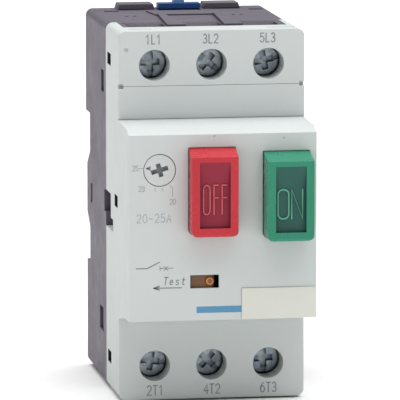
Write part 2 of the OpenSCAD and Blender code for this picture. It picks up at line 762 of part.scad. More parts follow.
module trip_coil(pole) {
    y_end = y_coil + coil_len;
    color("peru") translate([poles[pole - 1], 0, 0]) union() {
        difference() {
            rod_y(0, coil_z, [y_coil - 0.5, y_end + 0.5], bobbin_r);
            rod_y(0, coil_z, [y_coil - 1, y_end + 1], core_r + 0.1);
        }
        for (i = [0:coil_turns - 1])
            translate([0, y_coil + wire_r + i * (coil_len - 2 * wire_r) / (coil_turns - 1), coil_z])
                rotate([90, 0, 0]) rotate_extrude() translate([coil_r - wire_r, 0]) circle(wire_r, $fn = 16);
        // Front lead to the heater, rear lead to the lower fixed contact.
        block([3.7, 5.2], [y_bimetal + 3.5, y_coil + 1.6], [coil_z + 4, coil_z + 6]);
        block([3, 4.4], [y_coil, y_coil + 1.6], [coil_z + 2.6, coil_z + 5]);
        block([-5.8, -4.6], [y_end - 1.6, y_end], [coil_z - 8.2, coil_z]);
        block([-5.8, -4.6], [y_end - 1.6, y_fixed + fixed_t], [coil_z - 8.2, coil_z - 7]);
        block([-5.8, 3], [y_fixed, y_fixed + fixed_t], [coil_z - 8.2, coil_z - 6]);
        block([-lead_w / 2, lead_w / 2], [y_fixed, y_fixed + fixed_t], [coil_z - 8.2, -contact_z + 3]);
        block([-2, 2], [y_tip, y_fixed + eps], [-contact_z - 2, -contact_z + 2]);
    }
}

module striker_core(pole) {
    color("dimgray") translate([poles[pole - 1], 0, coil_z])
        rod_y(0, 0, [y_seam + 0.5, y_coil + coil_len + 1], core_r);
}

module coil_yokes() {
    color("slategray") at_poles() difference() {
        block([-yoke_half, yoke_half], [y_coil - 0.5 - yoke_t, y_coil + coil_len + 0.5 + yoke_t],
            [coil_z - 5.8 - yoke_t, coil_z + 4.4]);
        block([-6, 6], [y_coil - 0.5, y_coil + coil_len + 0.5], [coil_z - 5.8, coil_z + 5]);
        rod_y(0, coil_z, [y_coil - 2, y_coil + coil_len + 2], core_r + 0.1);
    }
}

module bimetal(pole) {
    foot = -lead_z + bar_t;
    color("peru") translate([poles[pole - 1], 0, 0]) union() {
        block([-0.5, 0.5], [y_bimetal - 2.5, y_bimetal + 2.5], [foot, bimetal_top]);
        block([-0.5, 2.5], [y_bimetal - 2.5, y_bimetal + 2.5], [foot, foot + 1]);
        block([-1.2, 1.2], [y_bimetal - 2.9, y_bimetal + 2.9], [coil_z - 2, coil_z + 12]);
        for (z = [coil_z - 1.4:1.9:coil_z + 10.2])
            block([-2.1, 2.1], [y_bimetal - 3.5, y_bimetal + 3.5], [z, z + 1]);
        block([2, 5.2], [y_bimetal + 2.4, y_bimetal + 3.5], [coil_z + 4, coil_z + 6]);
    }
}

module trip_bar() {
    z = [trip_bar_z, trip_bar_z + trip_bar_h];
    color("ivory") union() {
        block([-pole_pitch - 3, pole_pitch + 2.2], [y_bimetal - 2, y_bimetal + 2], z);
        at_poles() block([-2.9, -1.7], [y_bimetal - 2, y_bimetal + 2], [z[0] - 3, z[0] + eps]);
        block([arm_x - 0.7 - lug_gap - 1.2, arm_x - 0.7 - lug_gap], [y_bimetal - 6, y_bimetal - 2 + eps], z);
    }
}

// Mechanism ------------------------------------------------------------

y_seat = y_face + face_wall - 0.4;
lever_x = [on_x - 3.3, on_x + 3.3];

module drive_lever() {
    color("ivory") difference() {
        union() {
            rod_x(y_pivot, z_pivot, lever_x, hub_r);
            block(lever_x, [y_drive, y_pivot - 1], [z_pivot, on_tip_z + 2]);
            block(lever_x, [y_pivot - 1 - eps, y_pivot + 2.5], [z_pivot + 4, z_pivot + 9]);
            block(lever_x, [y_pivot - 1.5, y_pivot + 1.5], [z_pivot, z_pivot + 5]);
        }
        rod_x(y_pivot, z_pivot, [lever_x[0] - 1, lever_x[1] + 1], pin_r + 0.05);
    }
}

module release_lever() {
    color("lightgray") difference() {
        union() {
            rod_x(y_pivot, z_pivot, [-7.6, 6.2], hub_r);
            block([-off_x - 2.4, -off_x + 2.4], [y_release, y_pivot + 0.7], [z_pivot, off_tip_z + 2]);
            profile_x([[y_pivot - 1.2, z_pivot], [y_pivot + 2, z_pivot], [y_pivot + 3.8, z_pivot - 11],
                [y_pivot + 3.8, z_pivot - 14], [y_pivot + 2.6, z_pivot - 14]], [-4.5, 1]);
            block([-pole_pitch - 2.7, pole_pitch + 2.7], [y_pivot + 2.6, y_pivot + 3.8], [coil_z - 2, coil_z + 2]);
        }
        rod_x(y_pivot, z_pivot, [-9, 8], pin_r + 0.05);
    }
}

frame_x = [-9, 6.8, on_x + 3.65];

module lever_pin() {
    color("silver") rod_x(y_pivot, z_pivot, [frame_x[0] - 0.4, frame_x[2] + 1.05], pin_r);
}

module mechanism_frame() {
    cheek = [[y_seam, z_pivot - 5], [y_pivot - 4.6, z_pivot - 5], [y_pivot - 4.6, 2.8], [y_seat + eps, 2.8],
        [y_seat + eps, 14], [y_seat + 3, 14], [y_pivot, 9], [y_seam, 2]];
    color("darkgray") difference() {
        union() {
            for (x = frame_x) profile_x(cheek, [x, x + 1]);
            block([frame_x[0], frame_x[2] + 1], [y_pivot - 4.6, y_pivot - 3.6], [z_pivot - 5, z_pivot + 3]);
            block([frame_x[0], frame_x[2] + 1], [y_seat, y_seat + 1], [2.8, 14]);
        }
        rod_x(y_pivot, z_pivot, [frame_x[0] - 1, frame_x[2] + 2], pin_r);
        for (p = [[-off_x, off_tip_z], [on_x, on_tip_z]])
            block([p[0] - stem / 2 - 0.3, p[0] + stem / 2 + 0.3], [y_seat - 1, y_seat + 2],
                [p[1] - stem / 2 - 0.3, p[1] + stem / 2 + 0.3]);
    }
}

front_cover();
accessory_slot_cover();
marker_plate();
body_case();
rear_plate();
rail_latch();
rail_latch_spring();
case_screws();
off_button();
on_button();
off_button_spring();
on_button_spring();
current_dial();
adjusting_lever();
test_slider();
test_slider_spring();
terminal_screw(0, 1);  // line_screw_1
terminal_screw(0, 2);  // line_screw_2
terminal_screw(0, 3);  // line_screw_3
terminal_screw(1, 1);  // load_screw_1
terminal_screw(1, 2);  // load_screw_2
terminal_screw(1, 3);  // load_screw_3
wire_clamp(0, 1);  // line_clamp_1
wire_clamp(0, 2);  // line_clamp_2
wire_clamp(0, 3);  // line_clamp_3
wire_clamp(1, 1);  // load_clamp_1
wire_clamp(1, 2);  // load_clamp_2
wire_clamp(1, 3);  // load_clamp_3
line_terminal(1);  // line_terminal_1
line_terminal(2);  // line_terminal_2
line_terminal(3);  // line_terminal_3
load_terminal(1);  // load_terminal_1
load_terminal(2);  // load_terminal_2
load_terminal(3);  // load_terminal_3
contact_carrier();
contact_springs();
contact_bridge(1);  // contact_bridge_1
contact_bridge(2);  // contact_bridge_2
contact_bridge(3);  // contact_bridge_3
arc_chute(1);  // arc_chute_1
arc_chute(2);  // arc_chute_2
arc_chute(3);  // arc_chute_3
trip_coil(1);  // trip_coil_1
trip_coil(2);  // trip_coil_2
trip_coil(3);  // trip_coil_3
striker_core(1);  // striker_core_1
striker_core(2);  // striker_core_2
striker_core(3);  // striker_core_3
coil_yokes();
bimetal(1);  // bimetal_1
bimetal(2);  // bimetal_2
bimetal(3);  // bimetal_3
trip_bar();
release_lever();
drive_lever();
lever_pin();
mechanism_frame();
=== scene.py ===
import json
import math
import bmesh
import bpy
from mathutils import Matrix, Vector

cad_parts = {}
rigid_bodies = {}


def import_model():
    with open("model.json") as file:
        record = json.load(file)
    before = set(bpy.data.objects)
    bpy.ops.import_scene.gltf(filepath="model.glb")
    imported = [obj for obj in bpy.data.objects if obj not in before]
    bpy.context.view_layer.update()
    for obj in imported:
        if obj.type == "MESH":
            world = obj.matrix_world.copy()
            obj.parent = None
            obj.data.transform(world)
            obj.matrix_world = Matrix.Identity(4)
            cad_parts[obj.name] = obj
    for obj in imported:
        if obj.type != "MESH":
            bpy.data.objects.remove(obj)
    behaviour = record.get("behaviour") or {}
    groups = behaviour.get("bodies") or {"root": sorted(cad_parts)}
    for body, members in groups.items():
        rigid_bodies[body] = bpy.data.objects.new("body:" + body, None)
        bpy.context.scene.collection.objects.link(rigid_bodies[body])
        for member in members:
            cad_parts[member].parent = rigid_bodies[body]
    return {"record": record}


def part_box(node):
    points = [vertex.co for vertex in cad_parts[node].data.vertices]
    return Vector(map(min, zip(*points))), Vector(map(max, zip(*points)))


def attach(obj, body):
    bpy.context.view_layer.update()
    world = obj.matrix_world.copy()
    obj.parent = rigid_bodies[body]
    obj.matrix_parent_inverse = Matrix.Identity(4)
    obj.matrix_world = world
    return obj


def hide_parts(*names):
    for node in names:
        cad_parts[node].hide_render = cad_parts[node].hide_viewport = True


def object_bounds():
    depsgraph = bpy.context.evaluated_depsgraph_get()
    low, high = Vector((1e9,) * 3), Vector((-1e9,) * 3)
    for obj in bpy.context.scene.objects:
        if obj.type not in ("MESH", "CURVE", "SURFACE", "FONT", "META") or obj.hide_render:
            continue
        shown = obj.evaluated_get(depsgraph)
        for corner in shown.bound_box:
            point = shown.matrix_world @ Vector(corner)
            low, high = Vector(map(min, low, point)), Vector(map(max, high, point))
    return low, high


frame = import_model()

CAD_LO, CAD_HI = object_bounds()
MM = 0.001
RECORD = frame["record"]
BODY_OF = {n: b for b, nodes in RECORD["behaviour"]["bodies"].items() for n in nodes}
SLOT_OF = {s["node"]: s["material_slot"] for s in RECORD["subparts"]}


# ---------------------------------------------------------------- materials
def srgb(r, g, b):
    """A colour given in display values 0..255, as linear light."""
    def lin(c):
        c /= 255.0
        return c / 12.92 if c <= 0.04045 else ((c + 0.055) / 1.055) ** 2.4
    return (lin(r), lin(g), lin(b), 1.0)


def scaled(colour, k):
    return tuple(min(1.0, c * k) for c in colour[:3]) + (1.0,)


class Material:
    """Builds one node tree; every texture runs in object coordinates, in metres."""

    # Cosine of the turn at which an edge begins to show, and at which it shows in full.
    EDGE_BEGINS = 0.985
    EDGE_FULL = 0.86
    RECESS_SAMPLES = 8
    EDGE_SAMPLES = 4

    def __init__(self, name):
        self.mat = bpy.data.materials.new("look_" + name)
        self.mat.use_nodes = True
        self.tree = self.mat.node_tree
        self.tree.nodes.clear()
        self.out = self.node("ShaderNodeOutputMaterial")
        self.bsdf = self.node("ShaderNodeBsdfPrincipled")
        self.link(self.bsdf.outputs["BSDF"], self.out.inputs["Surface"])
        self.coord = self.node("ShaderNodeTexCoord").outputs["Object"]

    def node(self, kind, **props):
        n = self.tree.nodes.new(kind)
        for key, value in props.items():
            setattr(n, key, value)
        return n

    def link(self, a, b):
        self.tree.links.new(a, b)

    def stretched(self, scale):
        m = self.node("ShaderNodeMapping")
        m.inputs["Scale"].default_value = scale
        self.link(self.coord, m.inputs["Vector"])
        return m.outputs["Vector"]

    def noise(self, size_mm, detail=3.0, rough=0.55, vector=None, distortion=0.0):
        n = self.node("ShaderNodeTexNoise")
        n.inputs["Scale"].default_value = 1.0 / (size_mm * MM)
        n.inputs["Detail"].default_value = detail
        n.inputs["Roughness"].default_value = rough
        n.inputs["Distortion"].default_value = distortion
        self.link(vector or self.coord, n.inputs["Vector"])
        return n.outputs["Fac"]

    def height(self):
        n = self.node("ShaderNodeSeparateXYZ")
        self.link(self.coord, n.inputs["Vector"])
        return n.outputs["Z"]

    def spots(self, size_mm):
        n = self.node("ShaderNodeTexVoronoi")
        n.inputs["Scale"].default_value = 1.0 / (size_mm * MM)
        self.link(self.coord, n.inputs["Vector"])
        return n.outputs["Distance"]

    def remap(self, value, a, b, c, d):
        n = self.node("ShaderNodeMapRange")
        n.clamp = True
        for key, v in (("From Min", a), ("From Max", b), ("To Min", c), ("To Max", d)):
            n.inputs[key].default_value = v
        self.link(value, n.inputs["Value"])
        return n.outputs["Result"]

    def math(self, op, a, b):
        n = self.node("ShaderNodeMath", operation=op)
        for socket, v in zip(n.inputs, (a, b)):
            if isinstance(v, (int, float)):
                socket.default_value = v
            else:
                self.link(v, socket)
        return n.outputs["Value"]

    def mix(self, fac, a, b, blend="MIX"):
        n = self.node("ShaderNodeMix", data_type="RGBA", blend_type=blend)
        colours = [s for s in n.inputs if s.type == "RGBA"]
        self.link(fac, n.inputs["Factor"])
        for socket, v in zip(colours, (a, b)):
            if isinstance(v, tuple):
                socket.default_value = v
            else:
                self.link(v, socket)
        return [s for s in n.outputs if s.type == "RGBA"][0]

    def bump(self, height, depth_mm, strength=1.0, under=None):
        n = self.node("ShaderNodeBump")
        n.inputs["Distance"].default_value = depth_mm * MM
        n.inputs["Strength"].default_value = strength
        self.link(height, n.inputs["Height"])
        if under is not None:
            self.link(under, n.inputs["Normal"])
        return n.outputs["Normal"]

    def recess(self, reach_mm):
        """1 in the open, towards 0 in corners and gaps."""
        n = self.node("ShaderNodeAmbientOcclusion")
        n.samples = self.RECESS_SAMPLES
        n.inputs["Distance"].default_value = reach_mm * MM
        return n.outputs["AO"]

    def edge(self, radius_mm):
        """0 on flat faces, towards 1 along sharp edges."""
        b = self.node("ShaderNodeBevel")
        b.samples = self.EDGE_SAMPLES
        b.inputs["Radius"].default_value = radius_mm * MM
        g = self.node("ShaderNodeNewGeometry")
        d = self.node("ShaderNodeVectorMath", operation="DOT_PRODUCT")
        self.link(b.outputs["Normal"], d.inputs[0])
        self.link(g.outputs["Normal"], d.inputs[1])
        return self.remap(d.outputs["Value"], self.EDGE_BEGINS, self.EDGE_FULL, 0.0, 1.0)

    def finish(self, colour, rough, normal=None, metallic=0.0, **sockets):
        self.link(colour, self.bsdf.inputs["Base Color"])
        self.link(rough, self.bsdf.inputs["Roughness"])
        if normal is not None:
            self.link(normal, self.bsdf.inputs["Normal"])
        self.bsdf.inputs["Metallic"].default_value = metallic
        for key, v in sockets.items():
            self.bsdf.inputs[key.replace("_", " ")].default_value = v
        return self.mat


def plastic(name, colour, rough=0.42, grain_mm=0.35, grain_depth=0.012, mottle=0.035,
            corner=0.80, edge_gain=1.08, sheen_level=0.5, painted_light_fade=None):
    """Moulded plastic: slow colour drift, spark-eroded grain, painted shade in corners, paler
    edges.

    fade holds the height in mm where a painted highlight starts, the height where it ends,
    and the colour there. corner scales the colour in corners and gaps, as painted shade.
    """
    m = Material(name)
    drift = m.remap(m.noise(22.0, 3.0, 0.5), 0.3, 0.7, 0.0, 1.0)
    base = m.mix(drift, scaled(colour, 1.0 - mottle), scaled(colour, 1.0 + mottle))
    # Painted highlight: the colour shifts towards a lighter one with height.
    if painted_light_fade:
        base = m.mix(m.remap(m.height(), painted_light_fade[0] * MM, painted_light_fade[1] * MM, 0.0, 1.0), base, painted_light_fade[2])
    speck = m.remap(m.noise(0.9, 5.0, 0.7), 0.62, 0.78, 0.0, 0.35)
    base = m.mix(speck, base, scaled(colour, 0.86))
    worn = m.math("MULTIPLY", m.edge(0.28), m.remap(m.noise(3.0, 4.0), 0.35, 0.65, 0.25, 0.9))
    base = m.mix(worn, base, scaled(colour, edge_gain))
    # Painted shade: the colour darkens towards corner times itself in corners and gaps.
    clear_of_painted_shade = m.remap(m.recess(2.2), 0.25, 0.95, 0.0, 1.0)
    base = m.mix(clear_of_painted_shade, scaled(colour, corner), base)
    grain = m.noise(grain_mm, 4.0, 0.6)
    pits = m.remap(m.spots(grain_mm * 1.7), 0.0, 0.45, 0.0, 1.0)
    height = m.math("ADD", grain, m.math("MULTIPLY", pits, 0.45))
    normal = m.bump(height, grain_depth)
    normal = m.bump(m.noise(14.0, 2.0, 0.4), 0.09, 0.5, normal)
    sheen = m.remap(m.noise(5.0, 4.0, 0.6), 0.3, 0.7, rough - 0.06, rough + 0.07)
    return m.finish(base, sheen, normal, 0.0, Specular_IOR_Level=sheen_level)


def metal(name, colour, tint, rough=0.32, brush=(1.0, 1.0, 1.0), brush_mm=0.25, depth=0.006,
          stain=None):
    """Plated or bare metal: drifting tint, drawn or turned grain, dull stains, worn edges, painted
    shade in recesses.
    """
    m = Material(name)
    drift = m.remap(m.noise(2.4, 4.0, 0.6, distortion=0.6), 0.3, 0.7, 0.0, 1.0)
    base = m.mix(drift, colour, tint)
    blotch = m.remap(m.noise(0.8, 5.0, 0.65), 0.52, 0.74, 0.0, 0.75)
    base = m.mix(blotch, base, stain or scaled(colour, 0.55))
    base = m.mix(m.edge(0.12), base, scaled(colour, 1.25))
    # Painted shade: the colour darkens in recesses and gaps.
    base = m.mix(m.remap(m.recess(1.0), 0.2, 0.9, 0.0, 1.0), scaled(colour, 0.42), base)
    lines = m.noise(brush_mm, 3.0, 0.6, m.stretched(brush))
    normal = m.bump(lines, depth)
    normal = m.bump(m.noise(1.6, 3.0), 0.03, 0.6, normal)
    dull = m.remap(m.noise(1.1, 5.0, 0.6), 0.3, 0.7, rough - 0.09, rough + 0.16)
    return m.finish(base, dull, normal, 1.0)


def ink(name, colour, rough=0.5):
    """Printing ink: slightly uneven cover."""
    m = Material(name)
    cover = m.remap(m.noise(0.35, 4.0, 0.7), 0.35, 0.75, 0.0, 1.0)
    base = m.mix(cover, colour, scaled(colour, 1.22))
    return m.finish(base, m.remap(m.noise(0.5, 3.0), 0.3, 0.7, rough - 0.08, rough + 0.1),
                    m.bump(m.noise(0.2, 3.0), 0.004))


# Finishes that several buttons, panels and prints share.
CAP = dict(rough=0.3, grain_mm=0.3, grain_depth=0.008, mottle=0.04, sheen_level=0.28)
SUNK = dict(rough=0.36, grain_mm=0.25, grain_depth=0.01, mottle=0.08, corner=0.7,
            edge_gain=1.1, sheen_level=0.2)
SLOPE = dict(rough=0.36, grain_mm=0.25, grain_depth=0.01, mottle=0.04, corner=0.85,
             edge_gain=1.1, sheen_level=0.4)
LETTER = dict(rough=0.36, grain_mm=0.25, grain_depth=0.006, mottle=0.04, corner=0.85)

# One material for each slot of the record.
MATS = {
    "cover_plastic": plastic("cover_plastic", srgb(199, 204, 203), rough=0.5, mottle=0.015,
                             sheen_level=0.16),
    "marker_plastic": plastic("marker_plastic", srgb(212, 213, 205), rough=0.55, grain_mm=0.3,
                              grain_depth=0.008, mottle=0.02, corner=0.84, edge_gain=1.05,
                              sheen_level=0.3),
    "case_plastic": plastic("case_plastic", srgb(98, 93, 104), rough=0.52, grain_mm=0.5,
                            grain_depth=0.02, mottle=0.08, corner=0.5, edge_gain=1.3,
                            sheen_level=0.22),
    "red_plastic": plastic("red_plastic", srgb(186, 44, 55), corner=0.66, edge_gain=1.12, **CAP),
    "green_plastic": plastic("green_plastic", srgb(42, 132, 104), corner=0.62, edge_gain=1.14,
                             **CAP),
    "blue_plastic": plastic("blue_plastic", srgb(30, 72, 132), rough=0.4, grain_mm=0.4,
                            mottle=0.08, corner=0.65, edge_gain=1.3),
    "slider_plastic": plastic("slider_plastic", srgb(122, 84, 52), rough=0.45, grain_mm=0.3,
                              grain_depth=0.01, mottle=0.12, corner=0.6),
    "white_plastic": plastic("white_plastic", srgb(222, 218, 202), rough=0.46, grain_mm=0.4,
                             mottle=0.04, corner=0.75),
    "zinc_steel": metal("zinc_steel", srgb(138, 152, 164), srgb(164, 170, 172), rough=0.36,
                        stain=srgb(78, 88, 98)),
    "spring_steel": metal("spring_steel", srgb(150, 154, 158), srgb(172, 170, 164), rough=0.28,
                          brush=(1.0, 1.0, 6.0)),
    "core_steel": metal("core_steel", srgb(96, 98, 104), srgb(122, 120, 118), rough=0.42),
    "copper": metal("copper", srgb(205, 128, 92), srgb(222, 150, 112), rough=0.3,
                    brush=(1.0, 7.0, 1.0), brush_mm=0.3, stain=srgb(130, 84, 66)),
}

# Materials that parts of a piece take besides its slot's; many paint light or shade.
# A ramp's colour grows lighter up its slope, as a painted highlight.
INK_GREY = ink("ink_grey", srgb(118, 120, 126))
INK_BLUE = ink("ink_blue", srgb(76, 134, 170), rough=0.42)
INK_PALE = ink("ink_pale", srgb(150, 153, 158))
DOT_ORANGE = plastic("dot_orange", srgb(236, 150, 66), rough=0.36, grain_mm=0.25,
                     grain_depth=0.006, mottle=0.06, corner=0.6)
# Painted shade: the red sunk panel is a darker, shaded copy of the cap's plastic.
RED_PAINTED_SHADE = plastic("red_sunk", srgb(139, 40, 58), **SUNK)
# Painted highlight: the red ramp is a lit copy of the cap's plastic, lighter towards its top.
RED_RAMP_PAINTED_HIGHLIGHT = plastic("red_ramp", srgb(150, 60, 74), painted_light_fade=(10.3, 15.5, srgb(186, 78, 94)), **SLOPE)
# Painted highlight: the red raised letters are a paler, lit copy of the cap's plastic.
RED_LETTER_PAINTED_HIGHLIGHT = plastic("red_pale", srgb(198, 84, 92), **LETTER)
# Painted shade: the green sunk panel is a darker, shaded copy of the cap's plastic.
GREEN_PAINTED_SHADE = plastic("green_sunk", srgb(46, 90, 82), **SUNK)
# Painted highlight: the green ramp is a lit copy of the cap's plastic, lighter towards its top.
GREEN_RAMP_PAINTED_HIGHLIGHT = plastic("green_ramp", srgb(72, 108, 102), painted_light_fade=(9.2, 14.4, srgb(92, 134, 122)),
                     **SLOPE)
# Painted highlight: the green raised letters are a paler, lit copy of the cap's plastic.
GREEN_LETTER_PAINTED_HIGHLIGHT = plastic("green_pale", srgb(88, 168, 138), **LETTER)
# Painted shade: the dial's driver recess is painted darker than the dial's plastic.
RECESS_PAINTED_SHADE = plastic("recess_grey", srgb(122, 125, 130), rough=0.5, grain_mm=0.25,
                      grain_depth=0.01, mottle=0.08, corner=0.85)
# Painted highlight: a paler copy of the latch's blue plastic for the tip of its tab.
BLUE_PAINTED_HIGHLIGHT = plastic("blue_pale", srgb(104, 150, 196), rough=0.34, grain_mm=0.3,
                    grain_depth=0.008, mottle=0.06, corner=0.7, edge_gain=1.15)
# Painted light: a lit, paler copy of the case plastic for the bays' front faces.
CASE_PAINTED_LIGHT = plastic("case_pale", srgb(158, 157, 168), grain_mm=0.5, grain_depth=0.02,
                    mottle=0.07)
# Painted shade: a dark copy of the case plastic for the catches, the window walls and the lines
# behind the wire entries.
CASE_PAINTED_SHADE = plastic("case_shade", srgb(52, 49, 58), rough=0.6, grain_mm=0.5, grain_depth=0.02,
                     mottle=0.07, corner=0.7, edge_gain=1.1, sheen_level=0.15)


# ---------------------------------------------------------------- mesh tools
def new_object(name, mesh, material, body):
    o = bpy.data.objects.new(name, mesh)
    bpy.context.scene.collection.objects.link(o)
    mesh.materials.clear()
    mesh.materials.append(material)
    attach(o, body)
    return o


def rounded(node, name, width_mm, segments=2, angle=30.0, paint=()):
    """A piece with the node's exact shape and its sharp edges rounded.

    paint holds (material, test) pairs; a face takes the first material whose test
    accepts its middle and its normal, both in millimetres.
    """
    src = bpy.data.objects[node]
    slot = SLOT_OF[node]
    bm = bmesh.new()
    bm.from_mesh(src.data)
    bmesh.ops.remove_doubles(bm, verts=bm.verts, dist=2e-6)
    bmesh.ops.dissolve_limit(bm, angle_limit=math.radians(0.8), verts=bm.verts, edges=bm.edges)
    bmesh.ops.recalc_face_normals(bm, faces=bm.faces)
    for f in bm.faces:
        f.smooth = True
        middle = f.calc_center_median() / MM
        f.material_index = next((i + 1 for i, (_, test) in enumerate(paint)
                                 if test(middle, f.normal)), 0)
    mesh = bpy.data.meshes.new(name)
    bm.to_mesh(mesh)
    bm.free()
    indices = [p.material_index for p in mesh.polygons]
    o = new_object(name, mesh, MATS[slot], BODY_OF[node])
    for extra, _ in paint:
        mesh.materials.append(extra)
    mesh.polygons.foreach_set("material_index", indices)
    bev = o.modifiers.new("edges", "BEVEL")
    bev.width = width_mm * MM
    bev.segments = segments
    bev.limit_method = "ANGLE"
    bev.angle_limit = math.radians(angle)
    bev.use_clamp_overlap = True
    bev.miter_outer = "MITER_ARC"
    flat = o.modifiers.new("flat_faces", "WEIGHTED_NORMAL")
    flat.weight = 90
    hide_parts(node)
    return o


# ---------------------------------------------------------------- the pieces
# Places in mm, in the frame's axes: X across, Y towards the back, Z up.
SIDE_X = 19.5                               # anything past this lies in a side wall
CATCH_WINDOW_Y = (-36.4, -30.6)             # windows over the case's catches
CATCH_WINDOW_Z = (34.8, 38.0)
DRIVE_WINDOW_Y = (-47.5, -42.3)             # the accessory's drive opening, left side only
DRIVE_WINDOW_Z = (1.8, 4.9)
BAY_Y = -30.0                               # front face of the wire bays' walls
BAY_Z = 30                                  # the bays lie above and below this height
CATCH_X = 21.4                              # outer face of the catches
ON_PLANE = 0.1                              # how near a face must be to count as on a plane
FACING = 0.9                                # cosine of how squarely it must face that way
CAP_FLANGE = 0.8                            # a button's hidden flange, above and below its cap
PANEL_SIDE, PANEL_BASE, PANEL_TOP = 1.89, 2.1, 2.9      # frame around a button's sunk panel
DIAL_CROSS_R, DIAL_CROSS_DEPTH = 2.6, 1.3   # reach and depth of the dial's driver recess
TAB_HEIGHT, TAB_HALF = 1.1, 1.4             # painted highlight on the tip in the middle of the rail latch's tab


def between(value, limits):
    return limits[0] < value < limits[1]


def cap_limits(node):
    """The lowest and highest X, then Z, of a button's cap, in mm."""
    lo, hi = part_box(node)
    return lo.x / MM, hi.x / MM, lo.z / MM + CAP_FLANGE, hi.z / MM - CAP_FLANGE


OFF_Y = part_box("off_button")[0].y / MM
ON_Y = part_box("on_button")[0].y / MM
OFF_CAP = cap_limits("off_button")
ON_CAP = cap_limits("on_button")
DIAL_LO, DIAL_HI = (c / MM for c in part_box("current_dial"))
DIAL_X, DIAL_Z = (DIAL_LO.x + DIAL_HI.x) / 2, (DIAL_LO.z + DIAL_HI.z) / 2
LATCH_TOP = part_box("rail_latch")[1].z / MM

for obj in list(bpy.data.objects):
    if obj.type == "MESH" and obj.name in BODY_OF:
        for s in obj.material_slots:
            s.material = MATS[SLOT_OF[obj.name]]


# Each test below takes a face's middle in mm and its normal.
def in_side_window(c, n):
    """Accepts the walls of the small windows in the cover's sides."""
    catch = between(c.y, CATCH_WINDOW_Y) and between(abs(c.z), CATCH_WINDOW_Z)
    drive = c.x < 0 and between(c.y, DRIVE_WINDOW_Y) and between(c.z, DRIVE_WINDOW_Z)
    return abs(c.x) > SIDE_X and abs(n.x) < 0.5 and (catch or drive)


def on_bay_front(c, n):
    """Accepts the front faces of the walls between the wire entries."""
    return abs(c.y - BAY_Y) < ON_PLANE and n.y < -FACING and abs(c.z) > BAY_Z


def on_catch(c, n):
    """Accepts the catches, which are seen through the cover's side windows."""
    return abs(abs(c.x) - CATCH_X) < ON_PLANE and abs(n.x) > FACING and c.y < BAY_Y


def on_latch_tab(c, n):
    """Accepts the tip of the rail latch's tab."""
    return c.z > LATCH_TOP - TAB_HEIGHT and abs(c.x) < TAB_HALF


def in_dial_cross(c, n):
    """Accepts the dial's driver recess."""
    return (between(c.y, (DIAL_LO.y + 0.05, DIAL_LO.y + DIAL_CROSS_DEPTH))
            and math.hypot(c.x - DIAL_X, c.z - DIAL_Z) < DIAL_CROSS_R)


def in_panel(front, cap):
    """A test that accepts the faces of a button's sunk panel."""
    across = (cap[0] + PANEL_SIDE - ON_PLANE, cap[1] - PANEL_SIDE + ON_PLANE)
    up = (cap[2] + PANEL_BASE - ON_PLANE, cap[3] - PANEL_TOP + ON_PLANE)
    depth = (front + 0.2, front + 1.2)
    return lambda c, n: (between(c.y, depth) and between(c.x, across) and between(c.z, up)
                         and n.z > -0.5)


def on_slope(inside):
    """A test that accepts the sloping upper part of a sunk panel."""
    return lambda c, n: inside(c, n) and n.y < -FACING and n.z > 0.05


# The walls of the cover's side windows take painted shade.
rounded("front_cover", "cover_shell", 0.25, paint=[(CASE_PAINTED_SHADE, in_side_window)])
rounded("accessory_slot_cover", "slot_strip", 0.15)
rounded("marker_plate", "label_carrier", 0.2)
# The bays' front faces take painted light, and the catches painted shade.
rounded("body_case", "case_shell", 0.25, paint=[(CASE_PAINTED_LIGHT, on_bay_front), (CASE_PAINTED_SHADE, on_catch)])
rounded("rear_plate", "rail_plate", 0.3)
# The tab's tip takes a painted highlight.
rounded("rail_latch", "latch_slide", 0.25, paint=[(BLUE_PAINTED_HIGHLIGHT, on_latch_tab)])
# Each sunk panel takes painted shade, and its ramp a painted highlight.
for node, name, front, cap, slope, sunk in (
        ("off_button", "off_cap", OFF_Y, OFF_CAP, RED_RAMP_PAINTED_HIGHLIGHT, RED_PAINTED_SHADE),
        ("on_button", "on_cap", ON_Y, ON_CAP, GREEN_RAMP_PAINTED_HIGHLIGHT, GREEN_PAINTED_SHADE)):
    inside = in_panel(front, cap)
    rounded(node, name, 0.4, 3, paint=[(slope, on_slope(inside)), (sunk, inside)])
# The driver recess takes painted shade.
rounded("current_dial", "dial_knob", 0.12, paint=[(RECESS_PAINTED_SHADE, in_dial_cross)])
rounded("test_slider", "slider_plate", 0.12)
for end in ("line", "load"):
    for pole in (1, 2, 3):
        rounded("%s_screw_%d" % (end, pole), "%s_terminal_screw_%d" % (end, pole), 0.12)
        rounded("%s_clamp_%d" % (end, pole), "%s_clamp_plate_%d" % (end, pole), 0.12)


# ---------------------------------------------------------------- marks
def arc(cx, cy, rx, ry, a0, a1, n=10):
    return [(cx + rx * math.cos(math.radians(a0 + (a1 - a0) * i / n)),
             cy + ry * math.sin(math.radians(a0 + (a1 - a0) * i / n))) for i in range(n + 1)]


